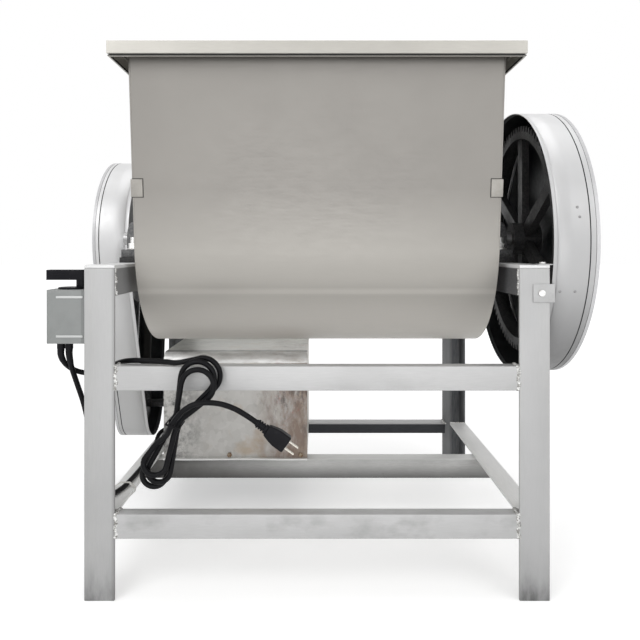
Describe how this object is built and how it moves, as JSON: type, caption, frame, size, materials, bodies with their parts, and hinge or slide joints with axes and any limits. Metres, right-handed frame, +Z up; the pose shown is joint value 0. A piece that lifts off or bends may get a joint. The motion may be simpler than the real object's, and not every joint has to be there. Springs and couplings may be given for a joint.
{
  "type": "dough mixer",
  "caption": "Horizontal dough mixer with a tilting stainless trough on an angle-iron frame, belt drive under a tear-drop guard, gear drive under a drum guard, switch and cord.",
  "frame": {"origin": "on the floor under the middle of the machine, cord left out", "axes": "+X to the right seen from the front, +Y to the back, +Z up"},
  "size_m": [0.947, 0.7445, 0.915],
  "materials": {
    "frame_steel": "brushed, dull",
    "guard_steel": "satin",
    "stainless": "satin stainless sheet",
    "galvanised_sheet": "spangled zinc, stained",
    "cast_iron": "black, oily",
    "zinc_fasteners": "zinc plated",
    "shaft_steel": "turned",
    "motor_paint": "grey enamel",
    "switch_paint": "grey enamel",
    "black_plastic": "moulded",
    "white_plastic": "nylon",
    "cable_rubber": "matt black",
    "belt_rubber": "matt black",
    "plug_metal": "nickel plated",
    "bronze": "cast bronze"
  },
  "bodies": {
    "frame": {"leg_front_left": "frame_steel", "leg_front_right": "frame_steel", "leg_back_left": "frame_steel", "leg_back_right": "frame_steel", "top_rail_left": "frame_steel", "top_rail_right": "frame_steel", "low_rail_left": "frame_steel", "low_rail_right": "frame_steel", "front_mid_rail": "frame_steel", "front_low_rail": "frame_steel", "motor_rail": "frame_steel", "back_low_rail": "frame_steel", "back_mid_rail": "frame_steel", "bearing_plates": "cast_iron", "main_bearing_left": "cast_iron", "main_bearing_right": "cast_iron", "gear_bearing_left": "cast_iron", "gear_bearing_right": "cast_iron", "bearing_bolts": "zinc_fasteners", "gear_guard_band": "guard_steel", "gear_guard_cap": "guard_steel", "belt_guard_band": "guard_steel", "belt_guard_cap": "guard_steel", "guard_tabs": "guard_steel", "guard_screws": "zinc_fasteners", "motor_body": "motor_paint", "motor_fan_cover": "motor_paint", "motor_feet": "motor_paint", "motor_cover": "galvanised_sheet", "cover_cleats": "zinc_fasteners", "cover_screws": "zinc_fasteners", "drive_belt": "belt_rubber", "switch_box": "switch_paint", "switch_lid": "switch_paint", "switch_boss": "black_plastic", "cable_glands": "black_plastic", "motor_cable": "cable_rubber", "cable_tie": "white_plastic", "cord_lead": "cable_rubber", "cord_hank": "cable_rubber", "cord_tail": "cable_rubber", "cord_tie": "cable_rubber", "plug_body": "black_plastic", "plug_blades": "plug_metal"},
    "trough": {"trough_shell": "stainless", "trough_end_left": "stainless", "trough_end_right": "stainless", "trough_rim": "stainless", "trough_bushes": "bronze", "corner_clips": "stainless"},
    "mixing_shaft": {"mixing_shaft": "shaft_steel", "kneading_arms": "stainless", "main_gear": "cast_iron", "shaft_collars": "zinc_fasteners"},
    "gear_shaft": {"gear_shaft": "shaft_steel", "pinion": "cast_iron", "big_pulley": "cast_iron"},
    "motor_shaft": {"motor_shaft": "shaft_steel", "small_pulley": "cast_iron"},
    "switch_handle": {"switch_handle": "black_plastic"}
  },
  "joints": [
    {"name": "trough_tilt", "type": "hinge", "parent": "frame", "child": "trough", "pos_m": [0.009, -0.088, 0.598], "axis": [1, 0, 0], "range_deg": [0, 80]},
    {"name": "shaft_spin", "type": "hinge", "parent": "frame", "child": "mixing_shaft", "pos_m": [0.009, -0.088, 0.598], "axis": [1, 0, 0], "continuous": true},
    {"name": "gear_shaft_spin", "type": "hinge", "parent": "frame", "child": "gear_shaft", "pos_m": [0.009, 0.167, 0.598], "axis": [1, 0, 0], "continuous": true},
    {"name": "motor_spin", "type": "hinge", "parent": "frame", "child": "motor_shaft", "pos_m": [0.009, 0.214, 0.192], "axis": [1, 0, 0], "continuous": true},
    {"name": "switch_turn", "type": "hinge", "parent": "frame", "child": "switch_handle", "pos_m": [-0.389, -0.302, 0.513], "axis": [0, 0, 1], "range_deg": [-45, 45]}
  ],
  "couplings": [
    {"joint": "gear_shaft_spin", "follows": "shaft_spin", "ratio": -6.2857},
    {"joint": "motor_spin", "follows": "shaft_spin", "ratio": -20.036}
  ]
}
